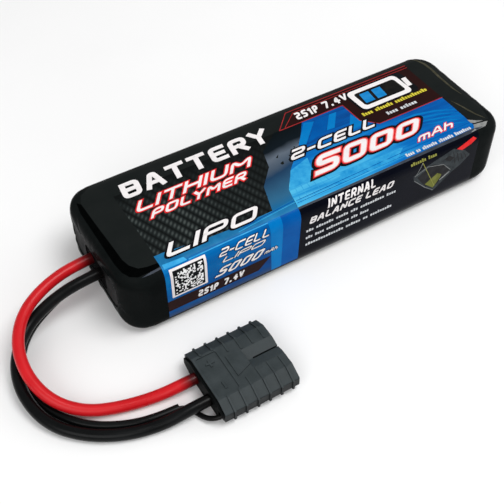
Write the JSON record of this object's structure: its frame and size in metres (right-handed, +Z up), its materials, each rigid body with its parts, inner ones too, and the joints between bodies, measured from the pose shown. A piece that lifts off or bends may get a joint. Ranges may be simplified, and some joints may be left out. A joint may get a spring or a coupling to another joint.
{
  "type": "lipo battery pack",
  "caption": "Flat rectangular lithium-polymer pack in glossy shrink film, with flexible leads looping round to a ribbed flat charge connector.",
  "frame": {"origin": "middle of the pack's underside, on the surface that it lies on", "axes": "+X along the pack, away from the end that the leads leave; +Y across it, away from the connector; +Z up"},
  "size_m": [0.1735, 0.0833, 0.0245],
  "materials": {
    "shrink_film": "glossy printed heat-shrink film",
    "shell_plastic": "black moulded plastic",
    "foam": "closed-cell foam, matte",
    "cell_foil": "satin laminated foil",
    "tape": "amber polyimide tape",
    "board_laminate": "green solder-masked laminate",
    "fish_paper": "grey-green insulating paper",
    "copper": "tinned copper pads",
    "tab_nickel": "bright nickel strip",
    "solder": "bright solder",
    "lead_red": "glossy red silicone",
    "lead_black": "glossy black silicone",
    "sleeve_black": "semi-gloss black sleeving",
    "wire_black": "semi-gloss black insulation",
    "connector_plastic": "dark blue-grey moulded nylon",
    "insert_plastic": "black moulded nylon",
    "contact_brass": "gold-plated contact metal"
  },
  "bodies": {
    "root": {"shrink_sleeve": "shrink_film", "lower_shell": "shell_plastic", "upper_shell": "shell_plastic", "lead_exit_seal": "foam", "cell_lower": "cell_foil", "cell_upper": "cell_foil", "cell_divider_pad": "foam", "bottom_foam_pad": "foam", "top_foam_pad": "foam", "cell_tape_bands": "tape", "blind_end_foam": "foam", "tab_board": "board_laminate", "board_insulator": "fish_paper", "board_pads": "copper", "upper_positive_tab": "tab_nickel", "upper_negative_tab": "tab_nickel", "lower_positive_tab": "tab_nickel", "lower_negative_tab": "tab_nickel", "solder_positive": "solder", "solder_negative": "solder", "solder_balance": "solder", "positive_lead": "lead_red", "negative_lead": "lead_black", "balance_sleeve": "sleeve_black", "balance_wire": "wire_black", "connector_housing": "connector_plastic", "connector_rear_insert": "insert_plastic", "positive_terminal": "contact_brass", "negative_terminal": "contact_brass", "balance_contact": "contact_brass"}
  },
  "joints": []
}
